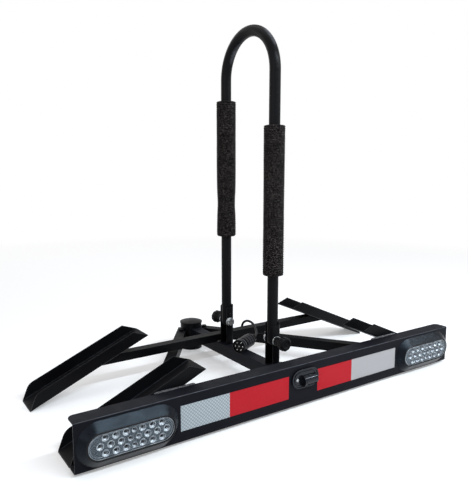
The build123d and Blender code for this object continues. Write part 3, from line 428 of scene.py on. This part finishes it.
def plug_moulding():
    """The plug's black plastic, with a pale painted highlight on its ribs and black in every second groove.
    """
    finish = Finish("plug_plastic")
    flow = finish.noise(90, 3)
    inward = finish.vectors("SUBTRACT", finish.place, PLUG_PLACE)["Vector"]
    along = finish.vectors("DOT_PRODUCT", inward, PLUG_LINE)["Value"]
    across = finish.vectors("CROSS_PRODUCT", inward, PLUG_LINE)["Vector"]
    reach = finish.vectors("LENGTH", across)["Value"]
    turns = finish.math("MULTIPLY", finish.math("SUBTRACT", along, PLUG_RIBS_START), 2 / PLUG_BAND_PITCH)
    band = finish.spread(finish.math("PINGPONG", turns, 1.0), 0, 1, *PLUG_BAND_SIDE)
    # painted highlight on the ribs, in every second band
    crest_highlight = finish.math("MULTIPLY", finish.spread(reach, 0, 1, *PLUG_RIB_REACH), band)
    finish.shade(
        Base_Color=finish.mixed(crest_highlight, *PLUG_BLACK_AND_HIGHLIGHT),
        Roughness=finish.spread(flow, 0.14, 0.22),
        Normal=finish.soft_edges(0.0004),
        Specular_IOR_Level=0.04,
    )
    return finish.material


def foam():
    """Closed-cell foam, brown-black and dull, with paler flecks in a fine speckle."""
    finish = Finish("sleeve_foam")
    blotch = finish.noise(40, 4)
    speckle = finish.noise(430, 2, (1, 1, 1.7))
    flecks = finish.math("MULTIPLY", finish.spread(speckle, 0, 1, *FOAM_FLECKS), finish.spread(blotch, 0.7, 1))
    finish.shade(
        Base_Color=finish.mixed(flecks, *FOAM),
        Roughness=finish.spread(blotch, 0.7, 0.85),
        Normal=finish.bump(speckle, 0.0012),
        Specular_IOR_Level=0.04,
    )
    return finish.material


def rubber():
    """Smooth cable sheath with a slight bloom, which the lamps' seals share."""
    finish = Finish("cable_sheath")
    bloom = finish.noise(90, 3)
    finish.shade(
        Base_Color=finish.toned(bloom, *RUBBER),
        Roughness=finish.spread(bloom, 0.38, 0.5),
        Normal=finish.bump(finish.noise(1300, 2), 0.00003),
        Specular_IOR_Level=0.12,
    )
    return finish.material


def clear_lens():
    """Clear moulded plastic, very slightly uneven."""
    finish = Finish("clear_moulding")
    finish.shade(
        Base_Color=CLEAR,
        Roughness=0.03,
        IOR=1.18,
        Transmission_Weight=1.0,
        Normal=finish.bump(finish.noise(120, 1), 0.00005, finish.soft_edges(0.0006)),
    )
    return finish.material


def lens_rim():
    """A pale painted highlight on the lens's edge and step."""
    finish = Finish("lens_rim")
    wear = finish.noise(60, 3)
    finish.shade(
        Base_Color=finish.toned(wear, *LENS_HIGHLIGHT),
        Roughness=finish.spread(wear, 0.12, 0.3),
    )
    return finish.material


def reflector_plate():
    """The dark plate between the lamp's cups, under a thin coat."""
    finish = Finish("reflector_plate")
    haze = finish.noise(45, 3)
    finish.shade(
        Base_Color=finish.toned(haze, *REFLECTOR),
        Roughness=finish.spread(haze, 0.3, 0.42),
        Normal=finish.bump(finish.noise(200, 2), 0.00002),
        Metallic=0.4,
    )
    return finish.material


def cup_coating_painted_shade():
    """The cups' bright coating, with painted shade: dark on each cup's right-hand wall, which faces left.
    """
    finish = Finish("cup_coating_painted_shade")
    haze = finish.noise(420, 2)
    # painted shade where the cup's wall faces left
    unshaded = finish.spread(finish.parts(finish.facing)["X"], 0, 1, *CUP_SHADED_FACING)
    finish.shade(
        Base_Color=finish.mixed(unshaded, CUP_PAINTED_SHADE, finish.toned(haze, *CUP)),
        Roughness=finish.spread(haze, 0.22, 0.36),
        Normal=finish.bump(haze, 0.0001),
        Metallic=0.45,
    )
    return finish.material


def led_dome():
    """An unlit light: a near-black glossy dome."""
    finish = Finish("led_dome")
    core = finish.noise(500, 1)
    finish.shade(
        Base_Color=finish.toned(core, *DOME),
        Roughness=finish.spread(core, 0.1, 0.2),
    )
    return finish.material


def circuit_board():
    """Green lacquer over faint copper tracks."""
    finish = Finish("board_lacquer")
    tracks = finish.noise(240, 0, (0.3, 1, 1))
    finish.shade(
        Base_Color=finish.toned(tracks, *BOARD),
        Roughness=finish.spread(tracks, 0.3, 0.45),
    )
    return finish.material


def tape(name, field, line, facet, line_share):
    """Prismatic reflective tape: a crossing grid of sealed lines over fine facets."""
    finish = Finish(name)
    x, _, z = finish.parts(finish.place)
    lines = []
    for sign in (1, -1):
        slant = finish.math("ADD", x, finish.math("MULTIPLY", z, sign))
        wave = finish.math("PINGPONG", finish.math("MULTIPLY", slant, 1 / TAPE_PITCH), 1.0)
        lines.append(finish.spread(wave, 1, 0, *TAPE_LINE))
    grid = finish.math("MAXIMUM", *lines)
    facets = finish.cells(900)
    cloud = finish.noise(30, 3)
    grain = finish.mixed(finish.spread(facets, 0, 1, 0.1, 0.7), field, facet)
    relief = finish.math("ADD", grid, finish.math("MULTIPLY", facets, TAPE_FACET_RELIEF))
    finish.shade(
        Base_Color=finish.mixed(finish.math("MULTIPLY", grid, line_share), grain, line),
        Roughness=finish.spread(cloud, 0.34, 0.46),
        Normal=finish.bump(relief, 0.00006),
        Specular_IOR_Level=0.13,
    )
    return finish.material


def contact_metal():
    """Nickel-plated contacts."""
    finish = Finish("contact_metal")
    tone = finish.noise(700, 2)
    finish.shade(
        Base_Color=finish.toned(tone, *CONTACT),
        Roughness=finish.spread(tone, 0.16, 0.26),
        Metallic=1.0,
    )
    return finish.material


def floor_finish():
    """A pale floor that keeps shadows near the object and fades into the white backdrop."""
    finish = Finish("studio_floor")
    seen = finish.seen_rays()
    diffuse = finish.add("ShaderNodeBsdfDiffuse", {"Color": FLOOR_COLOUR})
    lift = finish.add("ShaderNodeEmission", {"Strength": finish.math("MULTIPLY", seen, FLOOR_LIFT)})
    near = finish.add("ShaderNodeAddShader", {0: diffuse.outputs[0], 1: lift.outputs[0]})
    far = finish.add("ShaderNodeEmission", {"Strength": finish.spread(seen, FAR_FLOOR_LIGHT, 1.0, 0, 1)})
    fade = finish.spread(finish.vectors("LENGTH", finish.place)["Value"], 0, 1, *FLOOR_FADE)
    whole = finish.add("ShaderNodeMixShader", {0: fade, 1: near.outputs[0], 2: far.outputs[0]})
    finish.feed(finish.nodes["Material Output"].inputs["Surface"], whole.outputs[0])
    finish.nodes.remove(finish.shader)
    return finish.material


def set_world():
    """A white backdrop, and a softer even light on the object."""
    world = bpy.data.worlds.new("studio")
    bpy.context.scene.world = world
    world.use_nodes = True
    sky = Graph(world.node_tree)
    background = sky.nodes["Background"].inputs
    sky.feed(background["Color"], WHITE)
    sky.feed(background["Strength"], sky.spread(sky.seen_rays(), SKY_LIGHT, 1.0, 0, 1))


def stood(name, data):
    """A new object in the scene."""
    made = bpy.data.objects.new(name, data)
    bpy.context.scene.collection.objects.link(made)
    return made


def set_lights():
    """A long strip light above the front and right, and softboxes to the left, behind and overhead."""
    for name, (place, aim, size, radiance, colour) in LIGHTS.items():
        data = bpy.data.lights.new(name, "AREA")
        data.shape = "RECTANGLE"
        data.size, data.size_y = size
        data.energy = radiance * math.pi * size[0] * size[1]
        data.color = colour
        lamp = stood(name, data)
        lamp.location = place
        lamp.rotation_euler = (Vector(aim) - Vector(place)).to_track_quat("-Z", "Y").to_euler()
        lamp.visible_camera = False


def set_camera():
    """The camera that took the photograph."""
    data = bpy.data.cameras.new("photo_camera")
    data.lens = CAMERA_LENS
    data.sensor_width = CAMERA_SENSOR
    data.sensor_fit = "AUTO"
    camera = stood("photo_camera", data)
    camera.location = CAMERA_PLACE
    camera.rotation_euler = (math.pi / 2 - CAMERA_PITCH, 0, -CAMERA_YAW)
    bpy.context.scene.camera = camera


def set_floor():
    """The plain floor under the rack."""
    mesh = bmesh.new()
    bmesh.ops.create_circle(mesh, cap_ends=True, segments=FLOOR_SIDES, radius=FLOOR_RADIUS)
    bmesh.ops.translate(mesh, verts=mesh.verts, vec=(0, 0, -BALL_Z))
    data = bpy.data.meshes.new("floor")
    mesh.to_mesh(data)
    mesh.free()
    data.materials.append(floor_finish())
    floor = stood("floor", data)


def piece(name, mesh, material, body, smooth=True):
    """Turn a bmesh into a piece that rides on a body and has a finish."""
    bmesh.ops.recalc_face_normals(mesh, faces=mesh.faces)
    data = bpy.data.meshes.new(name)
    mesh.to_mesh(data)
    mesh.free()
    data.materials.append(material)
    if smooth:
        data.shade_smooth()
    else:
        data.shade_flat()
    made = stood(name, data)
    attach(made, body)
    return made


def skin(mesh, rings, looped=False):
    """Faces between rings of points, each ring joined to the next, with caps unless looped."""
    loops = [[mesh.verts.new(point) for point in ring] for ring in rings]
    following = loops[1:] + loops[:1] if looped else loops[1:]
    for one, other in zip(loops, following):
        for i in range(len(one)):
            j = (i + 1) % len(one)
            mesh.faces.new((one[i], one[j], other[j], other[i]))
    if not looped:
        mesh.faces.new(loops[0])
        mesh.faces.new(loops[-1])


def around(sides, twist=0.0):
    """The cosine and sine of each step round a circle."""
    angles = [2 * math.pi * (step + twist) / sides for step in range(sides)]
    return [(math.cos(angle), math.sin(angle)) for angle in angles]


def turned(mesh, centre, profile, sides, twist):
    """A ring whose closed profile, as radius and distance along Y, is turned about Y."""
    rings = [[centre + Vector((r * across, y, r * up)) for r, y in profile]
             for across, up in around(sides, twist)]
    skin(mesh, rings, looped=True)


def stud(mesh, centre, profile, sides):
    """A solid turned about Y, from its rings as radius and distance along Y."""
    rings = [[centre + Vector((r * across, y, r * up)) for across, up in around(sides)]
             for r, y in profile]
    skin(mesh, rings)


def oval_line(centre, length, height):
    """Points round an oval with straight sides in the XZ plane, each with its outward direction."""
    r = height / 2
    reach = length / 2 - r
    line = []
    for side in (1, -1):
        for step in range(OVAL_STEPS + 1):
            angle = math.pi * (side / 2 - step / OVAL_STEPS)
            out = Vector((math.cos(angle), 0, math.sin(angle)))
            line.append((centre + Vector((side * reach, 0, 0)) + out * r, out))
    return line


def oval_bead(mesh, centre, length, height, thick):
    """A thin round bead that follows an oval."""
    forward = Vector((0, 1, 0))
    rings = [[point + (out * across + forward * along) * thick for across, along in around(BEAD_SIDES)]
             for point, out in oval_line(centre, length, height)]
    skin(mesh, rings, looped=True)


def wobble(out, z, scales):
    """An unevenness at a place on a sleeve, by its scale round it and along it."""
    return noise.noise(out * scales[0] + Vector((0, 0, z * scales[1])))


def sleeve(place, material):
    """A foam sleeve with uneven ribs all along it and softly rounded ends."""
    low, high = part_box(f"{place}_sleeve")
    hoop_low, hoop_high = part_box("hoop_tube")
    middle = (low + high) / 2
    radius = (high.x - low.x) / 2
    hole = (hoop_high.x - hoop_low.x) / 2 + SLEEVE_PLAY
    at, width, depth = SLEEVE_WAIST[place]
    rings = []
    count = round((high.z - low.z) / RIB_PITCH) * RIB_RINGS
    for step in range(count + 1):
        z = low.z + (high.z - low.z) * step / count
        end = min(z - low.z, high.z - z)
        rounding = SLEEVE_END - math.sqrt(max(SLEEVE_END ** 2 - max(SLEEVE_END - end, 0) ** 2, 0))
        waist = radius * depth * math.exp(-((step / count - at) / width) ** 2)
        ring = []
        for across, along in around(SLEEVE_SIDES):
            out = Vector((across, along, 0))
            drift = wobble(out, z, DRIFT)
            ripple = wobble(out, z, RIPPLE)
            rib = abs(math.sin(math.pi * (z / RIB_PITCH + RIB_SWAY * ripple)))
            dip = RIB_DEPTH * (1 - rib ** RIB_SHARPNESS) * (RIB_DEPTH_RANGE[0] + RIB_DEPTH_RANGE[1] * drift)
            girth = radius * (SLEEVE_GIRTH[0] + SLEEVE_GIRTH[1] * drift)
            r = girth - waist - dip - rounding - SLEEVE_DENT * abs(ripple)
            ring.append(Vector((middle.x, middle.y, z)) + out * r)
        rings.append(ring)
    for z in (high.z, low.z):
        rings.append([Vector((middle.x + hole * across, middle.y + hole * along, z))
                      for across, along in around(SLEEVE_SIDES)])
    mesh = bmesh.new()
    skin(mesh, rings, looped=True)
    made = piece(f"{place}_foam_sleeve", mesh, material, "hoop")
    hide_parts(f"{place}_sleeve")


def seam(mesh, start, end, toward, up):
    """A rippled weld seam in the corner between two faces."""
    run = end - start
    count = max(round(run.length / WELD_RIPPLE), 2) * WELD_STEPS
    narrow, widening = WELD_TAPER
    level, swell, roughness = WELD_REACH
    rings = []
    for step in range(count + 1):
        share = step / count
        taper = min(1, narrow + widening * min(share, 1 - share))
        at = start + run * share
        ring = [at]
        for part in range(WELD_ARC + 1):
            angle = math.pi / 2 * part / WELD_ARC
            wave = math.sin(2 * math.pi * (step / WELD_STEPS - WELD_LEAN * math.sin(angle * 2)))
            uneven = noise.noise(at * WELD_LUMPS + Vector((part, 0, 0)) * WELD_LUMP_SHIFT)
            reach = WELD * taper * (level + swell * wave + roughness * uneven)
            ring.append(at + (toward * math.cos(angle) + up * math.sin(angle)) * reach)
        rings.append(ring)
    skin(mesh, rings)


def weld_seams(material):
    """All the visible welds, in the same corners as their plain beads."""
    panel_y, panel_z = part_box("light_panel")[1].yz
    half, _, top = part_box("spine_tube")[1]
    cross_low, cross_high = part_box("far_crossbar")
    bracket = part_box("near_bracket")[0]
    back, front, up = Vector((0, 1, 0)), Vector((0, -1, 0)), Vector((0, 0, 1))
    inner, outer = TRAY_SEAM
    mesh = bmesh.new()
    for side in (-1, 1):
        start = Vector((side * inner, panel_y, panel_z))
        seam(mesh, start, start + Vector((side * (outer - inner), 0, 0)), front, up)
    seam(mesh, Vector((half, cross_low.y, top)), Vector((-half, cross_low.y, top)), front, up)
    seam(mesh, Vector((half, cross_high.y, top)), Vector((-half, cross_high.y, top)), back, up)
    seam(mesh, Vector((BRACKET_SEAM, bracket.y, top)), Vector((bracket.x, bracket.y, top)), front, up)
    made = piece("weld_seams", mesh, material, "frame")
    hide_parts("weld_beads")


def solid_middles(node):
    """The middle of each separate solid in a node."""
    mesh = bmesh.new()
    mesh.from_mesh(node.data)
    bmesh.ops.remove_doubles(mesh, verts=mesh.verts, dist=SAME_PLACE)
    middles = []
    for first in mesh.verts:
        if first.tag:
            continue
        first.tag = True
        group = [first]
        for vertex in group:
            for edge in vertex.link_edges:
                other = edge.other_vert(vertex)
                if not other.tag:
                    other.tag = True
                    group.append(other)
        ends = [(min(v.co[axis] for v in group), max(v.co[axis] for v in group)) for axis in range(3)]
        middles.append(Vector([(low + high) / 2 for low, high in ends]))
    mesh.free()
    return middles


def lamp_insides(side, finishes):
    """A lamp's bright cups and domed lights, pale beads of painted highlight on its lens's rim and step,
    and its seal.
    """
    low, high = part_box(f"{side}_lamp_leds")
    middle = (low + high) / 2
    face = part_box(f"{side}_lamp_reflector")[0].y
    cups, lights = bmesh.new(), bmesh.new()
    for index, spot in enumerate(solid_middles(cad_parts[f"{side}_lamp_leds"])):
        share = CENTRE_CUP if abs(spot.x - middle.x) < CENTRE_REACH else 1.0
        cup, dome = ([(r * share, y) for r, y in profile] for profile in (CUP_PROFILE, DOME_PROFILE))
        turned(cups, Vector((spot.x, face, spot.z)), cup, CUP_SIDES, CUP_TWIST * (index % 2))
        stud(lights, Vector((spot.x, high.y, spot.z)), dome, CUP_SIDES)
    piece(f"{side}_lamp_cups", cups, finishes["cups"], "frame", smooth=False)
    made = piece(f"{side}_lamp_domes", lights, finishes["led"], "frame")
    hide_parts(f"{side}_lamp_leds")

    lens_low, lens_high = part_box(f"{side}_lamp_lens")
    size = lens_high - lens_low
    centre = (lens_low + lens_high) / 2
    # pale beads that paint a highlight on the lens's rim and step
    rim = bmesh.new()
    place = Vector((centre.x, lens_low.y + RIM_R / 2, centre.z))
    oval_bead(rim, place, size.x - 2 * LENS_RIM, size.z - 2 * LENS_RIM, RIM_R)
    place = Vector((centre.x, face - 2 * STEP_R, centre.z))
    oval_bead(rim, place, size.x - 2 * LENS_STEP, size.z - 2 * LENS_STEP, STEP_R)
    piece(f"{side}_lens_rim", rim, finishes["lens_rim"], "frame")

    seal = bmesh.new()
    place = Vector((centre.x, lens_low.y + GASKET_R / 2, centre.z))
    oval_bead(seal, place, size.x + 2 * GASKET_OUT, size.z + 2 * GASKET_OUT, GASKET_R)
    piece(f"{side}_lamp_seal", seal, finishes["cable_rubber"], "frame")


def free_cable(material):
    """The plug's cable, a smooth line along its given route."""
    data = bpy.data.curves.new("trailer_cable", "CURVE")
    data.dimensions = "3D"
    data.bevel_depth = CABLE_D / 2
    data.bevel_resolution = CABLE_SIDES
    data.resolution_u = CABLE_STEPS
    data.use_fill_caps = True
    spline = data.splines.new("NURBS")
    spline.points.add(len(CABLE_ROUTE_MM) - 1)
    for point, (x, y, z) in zip(spline.points, CABLE_ROUTE_MM):
        point.co = (x / 1000, y / 1000 - BALL_Y, z / 1000 - BALL_Z, 1)
    spline.order_u = 3
    spline.use_endpoint_u = True
    data.materials.append(material)
    cable = stood("trailer_cable", data)
    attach(cable, "frame")
    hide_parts("plug_cable")
    x, y, z = CABLE_ROUTE_MM[0]


def set_finishes(finishes):
    """Give every node of the frame the finish of its slot, or its own."""
    own = dict(OWN_FINISHES)
    for side in ("left", "right"):
        own[f"{side}_lamp_bezel"] = "bezel"
        own[f"{side}_strut"] = "dark_coat"
        for place in ("near", "far"):
            own[f"{place}_{side}_tray"] = "dark_coat"
    for place in ("near", "far"):
        own[f"{place}_bracket"] = "dark_coat"
        own[f"{place}_knob"] = "dark_plastic"
    for name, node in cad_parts.items():
        for place in node.material_slots:
            slot = place.material.name.split(".")[0]
            place.material = finishes[own.get(name, slot)]


def make_finishes():
    """Every finish, by its slot or by its own name."""
    finishes = {
        "zinc": zinc(),
        "weld": weld_metal(),
        "plug_plastic": plug_moulding(),
        "foam": foam(),
        "cable_rubber": rubber(),
        "clear_lens": clear_lens(),
        "lens_rim": lens_rim(),
        "reflector": reflector_plate(),
        "cups": cup_coating_painted_shade(),
        "led": led_dome(),
        "board": circuit_board(),
        "contacts": contact_metal(),
    }
    for make, looks in ((powder_coat, COATS), (moulded_plastic, PLASTICS), (tape, TAPES)):
        for slot, look in looks.items():
            finishes[slot] = make(*look)
    return finishes


def main():
    """Set the stage, finish the frame and add what it doesn't hold."""
    set_camera()
    set_world()
    set_lights()
    set_floor()
    finishes = make_finishes()
    set_finishes(finishes)
    for side in ("left", "right"):
        lamp_insides(side, finishes)
        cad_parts[f"{side}_lamp_lens"].visible_shadow = False
    for place in ("near", "far"):
        sleeve(place, finishes["foam"])
    weld_seams(finishes["weld"])
    free_cable(finishes["cable_rubber"])
    bpy.context.scene.view_settings.view_transform = "Standard"


main()
